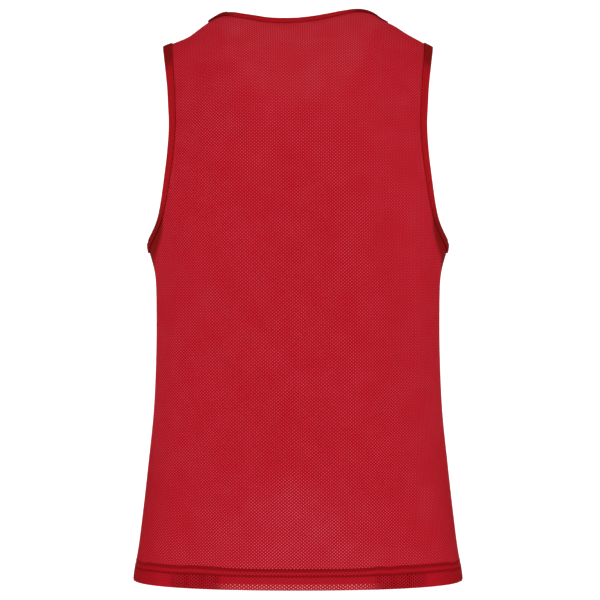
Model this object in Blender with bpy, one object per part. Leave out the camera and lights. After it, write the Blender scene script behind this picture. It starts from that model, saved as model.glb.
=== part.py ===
"""A training bib: a sleeveless mesh vest, filled out as when worn, with nobody in it.

Metres. X runs across the garment, the back panel faces -Y, the front panel +Y, and Z is up.
Zero is midway between the shoulders, on the shoulder seams, under the middle of the straps.
"""

import bpy
import numpy as np

# Cloth and trims.
CLOTH = 0.0012  # wall of one layer of mesh
HEM_CLOTH = 0.0024  # the hem is turned up, so it is two layers
HEM_HEIGHT = 0.024
HEM_STEP = 0.0012  # height over which the turned-up layer ends
SEAM_GAP = 0.0003  # between pieces that are sewn together
BINDING_GAP = 0.00055  # between a binding and the cloth that it is folded over
BINDING_WALL = 0.0010
NECK_BINDING_WIDTH = 0.0088
ARM_BINDING_WIDTH = 0.0100
BINDING_STRIP = 0.0120  # the panels' first net line lies this far inside a bound edge
LAP_WALL = 0.0008  # what a binding's lapped end adds to its outer side
LAP_STEP = 0.05  # share of a cell over which the lapped end begins

# The form that the garment fills.
ROUNDNESS = 2.3  # power of the body's section: 2 is an ellipse, more is squarer
BACK_FALL = (0.190, 2.0)  # height in which the back leaves the shoulder line, and its power
FRONT_FALL = (0.250, 1.6)

# Armhole and hem.
UNDERARM_Z = -0.264
UNDERARM_FLARE = 0.0090  # the bottom of the armhole stands out by this much
FLARE_DEPTH = 0.055  # reach of that flare towards the front and back
FLARE_HEIGHT = 0.028  # and down and up the side
CHEST_LINE_Z = -0.222  # where the rows of the body give way to those of the shoulders
TIP_X = 0.1700  # end of the shoulder seam
NECK_X = 0.1050  # its beginning
BACK_HEM_Z = -0.688
BACK_HEM_NOTCH = 0.0012  # the back hem is drawn up a little at the side seams
FRONT_HEM_Z = -0.706  # the front hangs lower in the middle
FRONT_HEM_SIDE_Z = -0.6912

# Rows and columns of the panels.
NECK_COLUMNS = 9  # from the middle of the neck to the shoulder seam
NECK_GRADING = 1.25  # more than 1 sets the last ones closer
STRAP_COLUMNS = 5
UNDERARM_COLUMNS = 6  # from the armhole's side to the side seam
BODY_ROWS = 13
BODY_GRADING = 1.4  # more than 1 sets the upper rows closer
SHOULDER_ROWS = 16
SHOULDER_GRADING = 1.4
ARM_COLUMN = NECK_COLUMNS + STRAP_COLUMNS
SIDE_COLUMN = ARM_COLUMN + UNDERARM_COLUMNS
HEM_ROWS = 3
BODY_TOP = HEM_ROWS + BODY_ROWS  # the row at the chest line, where the armholes cut in
TOP_ROW = BODY_TOP + SHOULDER_ROWS

BACK, FRONT = -1, 1


def table(columns, *rows):
    """A short table as one array for each named column."""
    return dict(zip(columns.split(), np.array(rows, float).T))


BODY = table(
    "z half_width back_depth front_depth",
    (-0.720, 0.2085, 0.134, 0.136),
    (-0.682, 0.2083, 0.134, 0.136),
    (-0.655, 0.2034, 0.131, 0.133),
    (-0.600, 0.1962, 0.130, 0.132),
    (-0.540, 0.1895, 0.130, 0.132),
    (-0.480, 0.1833, 0.131, 0.133),
    (-0.400, 0.1797, 0.133, 0.135),
    (-0.320, 0.1797, 0.136, 0.138),
    (-0.240, 0.1815, 0.138, 0.139),
    (-0.150, 0.1850, 0.138, 0.137),
    (-0.050, 0.1860, 0.136, 0.134),
    (0.050, 0.1860, 0.136, 0.134),
)
SHOULDER_LINE = table(
    "x left_z right_z",
    (0.000, 0.0325, 0.0325),
    (0.055, 0.0340, 0.0345),
    (0.080, 0.0325, 0.0345),
    (0.095, 0.0285, 0.0287),
    (0.105, 0.0226, 0.0212),
    (0.122, 0.0111, 0.0128),
    (0.138, -0.0008, 0.0026),
    (0.153, -0.0073, -0.0056),
    (0.171, -0.0140, -0.0150),
    (0.190, -0.0205, -0.0235),
)
BACK_NECK = table(
    "x left_z right_z",
    (0.000, 0.0163, 0.0163),
    (0.020, 0.0157, 0.0190),
    (0.040, 0.0170, 0.0232),
    (0.055, 0.0200, 0.0270),
    (0.070, 0.0230, 0.0298),
    (0.082, 0.0257, 0.0302),
    (0.094, 0.0261, 0.0274),
    (0.105, 0.0226, 0.0212),
)
FRONT_NECK = table(
    "x left_z right_z",
    (0.000, -0.0790, -0.0790),
    (0.030, -0.0750, -0.0750),
    (0.055, -0.0610, -0.0610),
    (0.075, -0.0390, -0.0390),
    (0.090, -0.0120, -0.0120),
    (0.100, 0.0100, 0.0095),
    (0.105, 0.0226, 0.0212),
)
ARMHOLE = table(
    "z back_x front_x",
    (-0.0143, 0.1700, 0.1700),
    (-0.0458, 0.1652, 0.1640),
    (-0.0696, 0.1622, 0.1590),
    (-0.0928, 0.1605, 0.1560),
    (-0.1155, 0.1592, 0.1550),
    (-0.1527, 0.1612, 0.1580),
    (-0.1821, 0.1650, 0.1625),
    (-0.2114, 0.1695, 0.1680),
    (-0.2350, 0.1741, 0.1735),
    (-0.2500, 0.1779, 0.1776),
    (-0.2590, 0.1802, 0.1801),
)
# Broad soft forms of the cloth: how far each stands out of the section, or sinks in.
BACK_FORMS = table(
    "x z across along height",
    (-0.088, -0.140, 0.045, 0.065, 0.0050),
    (0.088, -0.140, 0.045, 0.065, 0.0050),
    (0.000, -0.150, 0.030, 0.110, -0.0040),
    (-0.125, -0.395, 0.028, 0.090, -0.0040),
    (0.125, -0.395, 0.028, 0.090, -0.0040),
    (0.000, -0.560, 0.070, 0.110, 0.0030),
)
FRONT_FORMS = table(
    "x z across along height",
    (-0.090, -0.200, 0.045, 0.080, 0.0040),
    (0.090, -0.200, 0.045, 0.080, 0.0040),
    (-0.060, -0.470, 0.030, 0.140, -0.0035),
    (0.060, -0.470, 0.030, 0.140, -0.0035),
    (0.000, -0.520, 0.035, 0.130, 0.0030),
)

MESH_RED = (0.462, 0.0143, 0.0252)
TRIM_RED = (0.386, 0.0116, 0.0137)


def read(from_table, by, column, at):
    """A smooth curve through a table's rows, read at some places."""
    xs, ys = from_table[by], from_table[column]
    order = np.argsort(xs)
    xs, ys = xs[order], ys[order]
    slopes = np.gradient(ys, xs)
    at = np.clip(at, xs[0], xs[-1])
    i = np.clip(np.searchsorted(xs, at) - 1, 0, len(xs) - 2)
    step = xs[i + 1] - xs[i]
    s = (at - xs[i]) / step
    return (
        (1 + 2 * s) * (1 - s) ** 2 * ys[i]
        + s * (1 - s) ** 2 * step * slopes[i]
        + s**2 * (3 - 2 * s) * ys[i + 1]
        + s**2 * (s - 1) * step * slopes[i + 1]
    )


def two_sided(from_table, x):
    """A height that a table gives apart for the left and the right, at x."""
    left = read(from_table, "x", "left_z", np.abs(x))
    right = read(from_table, "x", "right_z", np.abs(x))
    return np.where(x < 0, left, right)


def rounded(angle, power):
    """The sine-like and cosine-like parts of a superellipse at an angle."""
    sine, cosine = np.sin(angle), np.cos(angle)
    r = (np.abs(sine) ** power + np.abs(cosine) ** power) ** (-1 / power)
    return r * sine, r * cosine


def fall_of(face):
    return BACK_FALL if face == BACK else FRONT_FALL


def soft_forms(face, x, z):
    forms = BACK_FORMS if face == BACK else FRONT_FORMS
    rise = np.zeros(np.broadcast(x, z).shape)
    for fx, fz, across, along, height in zip(*forms.values()):
        rise += height * np.exp(-(((x - fx) / across) ** 2) - ((z - fz) / along) ** 2)
    return rise


def place(face, turn, down):
    """The point of the outer surface at a turn round the body and a way down from the shoulder.

    turn is an angle, 0 at the middle of the face and a right angle at the side seam. down is 0
    on the shoulder line and 1 where the face has left it and runs straight down.
    """
    height, power = fall_of(face)
    one_minus, out = rounded(np.clip(down, 0, 1) * np.pi / 2, power)[::-1]
    drop = height * (1 - one_minus + np.maximum(down - 1, 0))
    across, forward = rounded(turn, ROUNDNESS)
    x = across * 0.185
    for _ in range(3):
        z = two_sided(SHOULDER_LINE, x) - drop
        x = across * read(BODY, "z", "half_width", z)
    depth = read(BODY, "z", "back_depth" if face == BACK else "front_depth", z)
    y = (depth + soft_forms(face, x, z)) * forward * out
    flare = UNDERARM_FLARE * np.exp(
        -((y / FLARE_DEPTH) ** 2) - ((z - UNDERARM_Z) / FLARE_HEIGHT) ** 2
    )
    x = x + np.sign(x) * flare * np.abs(across) ** 4
    return np.stack([x, face * y, z], axis=-1)


def turn_and_down(face, x, z):
    """Where on the face a point of the unflared form lies, from its x and z."""
    height, power = fall_of(face)
    s = (two_sided(SHOULDER_LINE, x) - z) / height
    part = np.clip(s, 0, 1)
    out = (1 - (1 - part) ** power) ** (1 / power)
    down = np.arctan2(out, 1 - part) / (np.pi / 2) + np.maximum(s - 1, 0)
    across = np.clip(x / read(BODY, "z", "half_width", z), -1, 1)
    forward = (1 - np.abs(across) ** ROUNDNESS) ** (1 / ROUNDNESS)
    return np.stack([np.arctan2(across, forward), down], axis=-1)


def directions(face, turn, down):
    """How a point moves as it turns and as it goes down, both per unit."""
    step = 1e-4
    return (
        (place(face, turn + step, down) - place(face, turn - step, down)) / (2 * step),
        (place(face, turn, down + step) - place(face, turn, np.maximum(down - step, 0)))
        / (step + np.minimum(down, step))[..., None],
    )


def unit(vectors):
    return vectors / np.linalg.norm(vectors, axis=-1, keepdims=True)


def outward(face, turn, down):
    by_turn, by_down = directions(face, turn, down)
    return unit(face * np.cross(by_turn, by_down))


def graded(count, grading):
    """count + 1 shares from 0 to 1, closer together towards the end where grading is over 1."""
    return 1 - np.linspace(1, 0, count + 1) ** grading


def along(face, line, count, grading=1):
    """A line of (turn, down) pairs, set out again by its length on the cloth."""
    points = place(face, line[:, 0], line[:, 1])
    reach = np.concatenate([[0], np.cumsum(np.linalg.norm(np.diff(points, axis=0), axis=1))])
    at = np.interp(graded(count, grading) * reach[-1], reach, np.arange(len(line)))
    return np.stack([np.interp(at, np.arange(len(line)), line[:, k]) for k in (0, 1)], axis=-1)


def coons(bottom, top, inner, outer, grading):
    """A net of (turn, down) pairs between four lines that meet at the corners."""
    u = np.linspace(0, 1, len(bottom))[None, :, None]
    v = graded(len(inner) - 1, grading)[:, None, None]
    ruled = (1 - v) * bottom[None] + v * top[None] + (1 - u) * inner[:, None] + u * outer[:, None]
    corners = (
        (1 - u) * (1 - v) * bottom[0]
        + u * (1 - v) * bottom[-1]
        + (1 - u) * v * top[0]
        + u * v * top[-1]
    )
    return ruled - corners


def armhole_line(face, hand):
    """The armhole's edge from the side seam up to the end of the shoulder, finely set."""
    column = "back_x" if face == BACK else "front_x"
    tip_z = two_sided(SHOULDER_LINE, np.array(hand * TIP_X))
    fine = 1 - np.cos(np.linspace(0, np.pi / 2, 200))
    z = UNDERARM_Z + fine * (tip_z - UNDERARM_Z)
    x = read(ARMHOLE, "z", column, z)
    corner = read(BODY, "z", "half_width", np.array(UNDERARM_Z))
    near = np.clip((z - UNDERARM_Z) / (ARMHOLE["z"].min() - UNDERARM_Z), 0, 1)
    x = corner + (x - corner) * np.sqrt(near) * np.sqrt(2 - near)
    line = turn_and_down(face, hand * x, z)
    line[-1] = turn_and_down(face, np.array(hand * TIP_X), tip_z)
    return line


def hem_z(face, turn):
    if face == BACK:
        return BACK_HEM_Z + BACK_HEM_NOTCH * np.abs(np.sin(turn)) ** 40
    return FRONT_HEM_Z + (FRONT_HEM_SIDE_Z - FRONT_HEM_Z) * np.sin(turn) ** 2


def half_panel(face, hand):
    """One half of a panel as rows of (turn, down) pairs, from the middle to the side.

    The rows of the body reach the side seam. Those of the shoulder end at the armhole.
    """
    turns = hand * np.linspace(0, 1, SIDE_COLUMN + 1) * np.pi / 2
    half_width = read(BODY, "z", "half_width", hem_z(face, turns))
    x = rounded(turns, ROUNDNESS)[0] * half_width
    hem = [
        turn_and_down(face, x, hem_z(face, turns) + up)
        for up in (0, HEM_HEIGHT / 2, HEM_HEIGHT - HEM_STEP, HEM_HEIGHT)
    ]
    for row in hem:
        row[:, 0] = turns
    armhole = armhole_line(face, hand)
    chest = np.argmin(np.abs(place(face, *armhole.T)[:, 2] - CHEST_LINE_Z))
    low, high = armhole[: chest + 1], armhole[chest:]
    middle_down = turn_and_down(face, np.array(0.0), np.array(CHEST_LINE_Z))[1]
    middle = np.array([0.0, middle_down])
    across = middle + np.linspace(0, 1, 200)[:, None] * (low[-1] - middle)
    chest_row = along(face, across, ARM_COLUMN)
    top = np.concatenate([chest_row, along(face, low[::-1], UNDERARM_COLUMNS)[1:]])
    rise = graded(BODY_ROWS, BODY_GRADING)[:, None]
    body = coons(
        hem[-1],
        top,
        hem[-1][0] + rise * (top[0] - hem[-1][0]),
        hem[-1][-1] + rise * (top[-1] - hem[-1][-1]),
        BODY_GRADING,
    )
    neck_x = hand * NECK_X * np.sin(np.linspace(0, np.pi / 2, 200))
    neck_z = two_sided(BACK_NECK if face == BACK else FRONT_NECK, neck_x)
    neck = along(face, turn_and_down(face, neck_x, neck_z), NECK_COLUMNS, NECK_GRADING)
    seam_x = hand * np.linspace(NECK_X, TIP_X, 200)
    seam = turn_and_down(face, seam_x, two_sided(SHOULDER_LINE, seam_x))
    seam = along(face, seam, STRAP_COLUMNS)
    seam[:, 1] = 0
    neck[-1] = seam[0]
    crown = np.concatenate([neck, seam[1:]])
    edge = along(face, high, SHOULDER_ROWS, SHOULDER_GRADING)
    edge[-1] = crown[-1]
    up = along(face, np.linspace(middle, crown[0], 200), SHOULDER_ROWS, SHOULDER_GRADING)
    shoulder = coons(chest_row, crown, up, edge, SHOULDER_GRADING)
    return hem[:-1] + list(body) + list(shoulder[1:])


def neck_chain():
    """The net points of a panel's neck edge, and those of the net line just inside it."""
    columns = range(-NECK_COLUMNS, NECK_COLUMNS + 1)
    edge = [(column, TOP_ROW) for column in columns]
    strip = [(column, TOP_ROW - 1) for column in columns]
    strip[0], strip[-1] = (-NECK_COLUMNS - 1, TOP_ROW), (NECK_COLUMNS + 1, TOP_ROW)
    return edge, strip


def arm_chain(hand):
    """The same for an armhole's edge, from the side seam up to the shoulder seam."""
    low, high = range(SIDE_COLUMN, ARM_COLUMN, -1), range(BODY_TOP + 1, TOP_ROW + 1)
    edge = [(hand * column, BODY_TOP) for column in low]
    edge += [(hand * ARM_COLUMN, row) for row in (BODY_TOP, *high)]
    strip = [(hand * column, BODY_TOP - 1) for column in low]
    strip += [(hand * (ARM_COLUMN - 1), row) for row in (BODY_TOP - 1, *high)]
    return edge, strip


def set_strip(face, net, edge, strip):
    """Moves a net line to lie at one distance inside a bound edge, square to it."""
    turn, down = np.array([net[key] for key in edge]).T
    points, normals = place(face, turn, down), outward(face, turn, down)
    run = np.gradient(points, axis=0)
    run[[0, -1]] = (0, 1, 0)
    inward = unit(np.cross(normals, run))
    inside = place(face, *np.array([net[key] for key in strip]).T)
    inward *= np.sign(np.sum(inward * (inside - points), axis=1))[:, None]
    by_turn_and_down = np.stack(directions(face, turn, down), axis=-1)
    move = np.linalg.pinv(by_turn_and_down) @ (inward * BINDING_STRIP)[..., None]
    for key, here, by in zip(strip, zip(turn, down), move[..., 0]):
        new_turn, new_down = here + by
        if abs(key[0]) == SIDE_COLUMN:
            new_turn = here[0]
        net[key] = np.array([new_turn, 0 if key[1] == TOP_ROW else new_down])


def corner_keys():
    """Net points in the corners of the bound strips, each with the two it lies between."""
    under = BODY_TOP - 1
    for hand in (-1, 1):
        arm, before, neck = hand * ARM_COLUMN, hand * (ARM_COLUMN - 1), hand * NECK_COLUMNS
        yield (arm, under), (arm + hand, under), (before, under)
        yield (before, BODY_TOP), (before, under), (before, BODY_TOP + 1)
        yield (neck, TOP_ROW - 1), (neck - hand, TOP_ROW - 1), (neck + hand, TOP_ROW)


def panel_net(face):
    """All the panel's net points: (column, row) -> (turn, down). Column 0 is the middle."""
    net = {}
    for hand in (-1, 1):
        for row, pairs in enumerate(half_panel(face, hand)):
            for column, pair in enumerate(pairs):
                net[hand * column, row] = pair
    set_strip(face, net, *neck_chain())
    for hand in (-1, 1):
        set_strip(face, net, *arm_chain(hand))
    return net


def seam_side(column, row):
    """True on the side and shoulder seams, where the other panel is sewn on."""
    on_side = abs(column) == SIDE_COLUMN
    on_shoulder = row == TOP_ROW and NECK_COLUMNS <= abs(column)
    return on_side or on_shoulder


def panel_points(face, net):
    """The panel's outer points and its outward directions, keyed as the net is."""
    keys = list(net)
    pairs = np.array([net[key] for key in keys])
    points = place(face, pairs[:, 0], pairs[:, 1])
    normals = outward(face, pairs[:, 0], pairs[:, 1])
    for i, (column, row) in enumerate(keys):
        if seam_side(column, row):
            normals[i, 1] = 0
            points[i, 1] = face * SEAM_GAP / 2
    surface = {key: (points[i], unit(normals[i])) for i, key in enumerate(keys)}
    for key, one, other in corner_keys():
        point, normal = np.add(surface[one], surface[other]) / 2
        surface[key] = (point, unit(normal))
    return surface


def wall_at(row):
    return HEM_CLOTH if row < HEM_ROWS else CLOTH


def new_object(name, points, faces, colour, roughness):
    mesh = bpy.data.meshes.new(name)
    mesh.from_pydata([tuple(map(float, p)) for p in points], [], faces)
    mesh.validate()
    mesh.shade_smooth()
    mesh.set_sharp_from_angle(angle=np.radians(40))
    material = bpy.data.materials.new(name + "_cloth")
    material.use_nodes = True
    shader = material.node_tree.nodes["Principled BSDF"]
    shader.inputs["Base Color"].default_value = (*colour, 1)
    shader.inputs["Roughness"].default_value = roughness
    shader.inputs["Metallic"].default_value = 0
    mesh.materials.append(material)
    bpy.context.scene.collection.objects.link(bpy.data.objects.new(name, mesh))


def split(cell, points, towards):
    """A cell as two triangles that meet on the diagonal lying further towards a direction."""
    a, b, c, d = cell
    if np.dot(points[a] + points[c] - points[b] - points[d], towards) < 0:
        a, b, c, d = b, c, d, a
    return [[a, b, c], [a, c, d]]


def make_panel(name, face, surface):
    """A front or back: its outer net, the same net moved in by the cloth, and a rim."""
    keys = list(surface)
    index = {key: i for i, key in enumerate(keys)}
    points = [surface[key][0] for key in keys]
    points += [surface[key][0] - surface[key][1] * wall_at(key[1]) for key in keys]
    bound = set(neck_chain()[0] + arm_chain(-1)[0] + arm_chain(1)[0])
    faces, sides = [], {}
    for column, row in keys:
        around = [(column, row), (column + 1, row), (column + 1, row + 1), (column, row + 1)]
        if not all(key in index for key in around):
            continue
        cell = [index[key] for key in around][::-face]
        out = surface[column, row][1]
        # Under a binding the outer side is split to lie low and leave it room.
        faces += split(cell, points, out if bound.isdisjoint(around) else -out)
        faces += split([i + len(keys) for i in cell[::-1]], points, out)
        sides.update(dict.fromkeys(zip(cell, cell[1:] + cell[:1])))
    faces += [[b, a, a + len(keys), b + len(keys)] for a, b in sides if (b, a) not in sides]
    new_object(name, points, faces, MESH_RED, 0.72)


def stations_of(surface, edge, strip):
    """Rows of a panel's edge point, its outward direction, and the same just inside it."""
    return [np.stack([*surface[e], *surface[i]]) for e, i in zip(edge, strip)]


def ring_round(surfaces, chain, first=BACK, second=FRONT):
    """The stations round an opening, through both panels, with the shared ends on the seam."""
    go = stations_of(surfaces[first], *chain)
    back = stations_of(surfaces[second], *chain)[-2:0:-1]
    for station in (go[0], go[-1]):
        station[[0, 2], 1] = 0
    return np.array(go + back)


def with_lap(ring, first, last):
    """The ring with a step at each end of a lapped stretch, and where it is lapped."""
    out, lapped = [], []
    for i, station in enumerate(ring):
        out.append(station)
        lapped.append(first < i <= last)
        if i in (first, last):
            onward = ring[(i + 1) % len(ring)]
            out.append(station + LAP_STEP * (onward - station))
            lapped.append(i == first)
    return np.array(out), np.array(lapped, float)[:, None]


def make_binding(name, ring, lapped, width):
    """A tape folded over an edge: an outer leg, a round fold and an inner leg."""
    edge, normal, inside, inside_normal = ring.transpose(1, 0, 2)
    normal = unit(normal)
    share = width / np.linalg.norm(inside - edge, axis=1, keepdims=True)
    leg = edge + share * (inside - edge)
    leg_normal = unit(normal + share * (inside_normal - normal))
    inward = leg - edge
    inward = unit(inward - normal * np.sum(inward * normal, axis=1, keepdims=True))
    off, tape = BINDING_GAP, BINDING_WALL
    middle = edge - normal * CLOTH / 2
    lines = [leg + leg_normal * (off + tape + LAP_WALL * lapped)]
    for angle in np.radians([0, 45, 90, 135, 180]):
        rise = (CLOTH / 2 + off + tape) * np.cos(angle)
        rise = rise + LAP_WALL * lapped * max(np.cos(angle), 0)
        reach = (off + tape + LAP_WALL * lapped) * np.sin(angle)
        lines.append(middle + normal * rise - inward * reach)
    lines += [
        leg - leg_normal * (CLOTH + off + tape),
        leg - leg_normal * (CLOTH + off),
        edge - normal * (CLOTH + off) - inward * off,
        edge + normal * off - inward * off,
        leg + leg_normal * off,
    ]
    count, across = len(edge), len(lines)
    points = np.stack(lines, axis=1).reshape(-1, 3)
    faces = []
    for i in range(count):
        # The sides that face the cloth are split to lie clear of it.
        away = [normal[i]] * 5 + [-normal[i]] * 3 + [-inward[i]] + [normal[i]] * 2
        for k in range(across):
            j, m = (i + 1) % count, (k + 1) % across
            cell = [a * across + b for a, b in ((i, k), (i, m), (j, m), (j, k))]
            faces += split(cell, points, away[k])
    if signed_volume(points, faces) < 0:
        faces = [corners[::-1] for corners in faces]
    new_object(name, points, faces, TRIM_RED, 0.78)


def signed_volume(points, faces):
    a, b, c = points[np.array(faces)].transpose(1, 0, 2)
    return float(np.sum(a * np.cross(b, c)) / 6)


def main():
    for old in list(bpy.data.objects):
        bpy.data.objects.remove(old, do_unlink=True)
    surfaces = {face: panel_points(face, panel_net(face)) for face in (BACK, FRONT)}
    make_panel("back_panel", BACK, surfaces[BACK])
    make_panel("front_panel", FRONT, surfaces[FRONT])
    neck = with_lap(ring_round(surfaces, neck_chain()), 0, 3)
    make_binding("neck_binding", *neck, NECK_BINDING_WIDTH)
    for name, hand in (("armhole_binding_left", -1), ("armhole_binding_right", 1)):
        ring = ring_round(surfaces, arm_chain(hand))
        make_binding(name, *with_lap(ring, len(ring) - 2, len(ring) - 1), ARM_BINDING_WIDTH)


main()
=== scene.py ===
import bpy
import numpy as np
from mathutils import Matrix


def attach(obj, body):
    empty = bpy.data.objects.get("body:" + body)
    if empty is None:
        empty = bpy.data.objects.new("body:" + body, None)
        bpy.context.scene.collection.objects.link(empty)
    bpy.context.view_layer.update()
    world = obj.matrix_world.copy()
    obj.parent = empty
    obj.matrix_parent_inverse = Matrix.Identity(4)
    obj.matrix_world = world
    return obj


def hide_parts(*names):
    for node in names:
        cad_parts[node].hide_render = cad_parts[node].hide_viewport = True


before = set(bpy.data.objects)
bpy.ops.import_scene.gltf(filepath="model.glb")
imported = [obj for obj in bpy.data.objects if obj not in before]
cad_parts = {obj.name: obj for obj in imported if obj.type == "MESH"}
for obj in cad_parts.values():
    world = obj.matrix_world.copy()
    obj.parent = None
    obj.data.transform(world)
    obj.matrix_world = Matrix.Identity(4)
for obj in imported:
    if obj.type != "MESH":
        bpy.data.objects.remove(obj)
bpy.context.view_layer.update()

# A training bib seen from behind. Metres, back panel towards -Y, front panel towards +Y.
back, front = -1, 1

form = {
    "roundness": 2.3,
    "fall": {back: (0.190, 2.0), front: (0.250, 1.6)},
    "underarmZ": -0.264,
    "flare": 0.0090,
    "flareDepth": 0.055,
    "flareHeight": 0.028,
    "levelZ": -0.42,
    "chestZ": -0.222,
    "tipX": 0.1700,
    "neckX": 0.1050,
    "firstHalfWidth": 0.185,
    "backHemZ": -0.688,
    "backHemNotch": 0.0012,
    "frontHemZ": -0.706,
    "frontHemSideZ": -0.6912,
}


def table(columns, *rows):
    return dict(zip(columns.split(), np.array(rows, float).T))


bodyTable = table(
    "z halfWidth backDepth frontDepth",
    (-0.720, 0.2085, 0.134, 0.136),
    (-0.682, 0.2083, 0.134, 0.136),
    (-0.655, 0.2034, 0.131, 0.133),
    (-0.600, 0.1962, 0.130, 0.132),
    (-0.540, 0.1895, 0.130, 0.132),
    (-0.480, 0.1833, 0.131, 0.133),
    (-0.400, 0.1797, 0.133, 0.135),
    (-0.320, 0.1797, 0.136, 0.138),
    (-0.240, 0.1815, 0.138, 0.139),
    (-0.150, 0.1850, 0.138, 0.137),
    (-0.050, 0.1860, 0.136, 0.134),
    (0.050, 0.1860, 0.136, 0.134),
)
shoulderTable = table(
    "x leftZ rightZ",
    (0.000, 0.0325, 0.0325),
    (0.055, 0.0340, 0.0345),
    (0.080, 0.0325, 0.0345),
    (0.095, 0.0285, 0.0287),
    (0.105, 0.0226, 0.0212),
    (0.122, 0.0111, 0.0128),
    (0.138, -0.0008, 0.0026),
    (0.153, -0.0073, -0.0056),
    (0.171, -0.0140, -0.0150),
    (0.190, -0.0205, -0.0235),
)
backNeckTable = table(
    "x leftZ rightZ",
    (0.000, 0.0163, 0.0163),
    (0.020, 0.0157, 0.0190),
    (0.040, 0.0170, 0.0232),
    (0.055, 0.0200, 0.0270),
    (0.070, 0.0230, 0.0298),
    (0.082, 0.0257, 0.0302),
    (0.094, 0.0261, 0.0274),
    (0.105, 0.0226, 0.0212),
)
frontNeckTable = table(
    "x leftZ rightZ",
    (0.000, -0.0790, -0.0790),
    (0.030, -0.0750, -0.0750),
    (0.055, -0.0610, -0.0610),
    (0.075, -0.0390, -0.0390),
    (0.090, -0.0120, -0.0120),
    (0.100, 0.0100, 0.0095),
    (0.105, 0.0226, 0.0212),
)
armholeTable = table(
    "z backX frontX",
    (-0.0143, 0.1700, 0.1700),
    (-0.0458, 0.1652, 0.1640),
    (-0.0696, 0.1622, 0.1590),
    (-0.0928, 0.1605, 0.1560),
    (-0.1155, 0.1592, 0.1550),
    (-0.1527, 0.1612, 0.1580),
    (-0.1821, 0.1650, 0.1625),
    (-0.2114, 0.1695, 0.1680),
    (-0.2350, 0.1741, 0.1735),
    (-0.2500, 0.1779, 0.1776),
    (-0.2590, 0.1802, 0.1801),
)
# Broad soft forms of the worn cloth: where it stands out or falls in, and how far.
backForms = table(
    "x z across along height",
    (-0.088, -0.140, 0.045, 0.065, 0.0050),
    (0.088, -0.140, 0.045, 0.065, 0.0050),
    (0.000, -0.150, 0.030, 0.110, -0.0040),
    (-0.125, -0.395, 0.028, 0.090, -0.0040),
    (0.125, -0.395, 0.028, 0.090, -0.0040),
    (0.000, -0.560, 0.070, 0.110, 0.0030),
)
frontForms = table(
    "x z across along height",
    (-0.090, -0.200, 0.045, 0.080, 0.0040),
    (0.090, -0.200, 0.045, 0.080, 0.0040),
    (-0.060, -0.470, 0.030, 0.140, -0.0035),
    (0.060, -0.470, 0.030, 0.140, -0.0035),
    (0.000, -0.520, 0.035, 0.130, 0.0030),
)


# A table's column at any place, on a smooth curve through its rows.
def read(fromTable, by, column, at):
    xs, ys = fromTable[by], fromTable[column]
    order = np.argsort(xs)
    xs, ys = xs[order], ys[order]
    slopes = np.gradient(ys, xs)
    at = np.clip(at, xs[0], xs[-1])
    i = np.clip(np.searchsorted(xs, at) - 1, 0, len(xs) - 2)
    step = xs[i + 1] - xs[i]
    share = (at - xs[i]) / step
    left = 1 - share
    return (
        (1 + 2 * share) * left**2 * ys[i]
        + share * left**2 * step * slopes[i]
        + share**2 * (3 - 2 * share) * ys[i + 1]
        - share**2 * left * step * slopes[i + 1]
    )


def twoSided(fromTable, x):
    left = read(fromTable, "x", "leftZ", np.abs(x))
    right = read(fromTable, "x", "rightZ", np.abs(x))
    return np.where(x < 0, left, right)


# A point at an angle on a rounded square: power 2 is a circle.
def rounded(angle, power):
    sine, cosine = np.sin(angle), np.cos(angle)
    reach = (np.abs(sine) ** power + np.abs(cosine) ** power) ** (-1 / power)
    return reach * sine, reach * cosine


# How far the cloth's soft swells and hollows stand out.
def softForms(face, x, z):
    forms = backForms if face == back else frontForms
    rise = np.zeros(np.broadcast(x, z).shape)
    for fx, fz, across, along, height in zip(*forms.values()):
        rise += height * np.exp(-(((x - fx) / across) ** 2) - ((z - fz) / along) ** 2)
    return rise


# The cloth's point at a turn round the body (0 in the middle, a right angle at the side seam)
# and a way down (0 on the shoulder line, 1 where the face runs straight down).
def place(face, turn, down):
    height, power = form["fall"][face]
    oneMinus, out = rounded(np.clip(down, 0, 1) * np.pi / 2, power)[::-1]
    drop = height * (1 - oneMinus + np.maximum(down - 1, 0))
    across, forward = rounded(turn, form["roundness"])
    x = across * form["firstHalfWidth"]
    for _ in range(3):
        z = twoSided(shoulderTable, x) - drop
        x = across * read(bodyTable, "z", "halfWidth", z)
    depth = read(bodyTable, "z", "backDepth" if face == back else "frontDepth", z)
    y = (depth + softForms(face, x, z)) * forward * out
    flare = form["flare"] * np.exp(
        -((y / form["flareDepth"]) ** 2) - ((z - form["underarmZ"]) / form["flareHeight"]) ** 2
    )
    x = x + np.sign(x) * flare * np.abs(across) ** 4
    return np.stack([x, face * y, z], axis=-1)


def turnAndDown(face, x, z):
    height, power = form["fall"][face]
    fallen = (twoSided(shoulderTable, x) - z) / height
    part = np.clip(fallen, 0, 1)
    out = (1 - (1 - part) ** power) ** (1 / power)
    down = np.arctan2(out, 1 - part) / (np.pi / 2) + np.maximum(fallen - 1, 0)
    across = np.clip(x / read(bodyTable, "z", "halfWidth", z), -1, 1)
    forward = (1 - np.abs(across) ** form["roundness"]) ** (1 / form["roundness"])
    return np.stack([np.arctan2(across, forward), down], axis=-1)


def unit(vectors):
    return vectors / np.linalg.norm(vectors, axis=-1, keepdims=True)


def directions(face, turn, down):
    step = 1e-4
    byTurn = (place(face, turn + step, down) - place(face, turn - step, down)) / (2 * step)
    byDown = place(face, turn, down + step) - place(face, turn, np.maximum(down - step, 0))
    return byTurn, byDown / (step + np.minimum(down, step))[..., None]


def outward(face, turn, down):
    byTurn, byDown = directions(face, turn, down)
    return unit(face * np.cross(byTurn, byDown))


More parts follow.
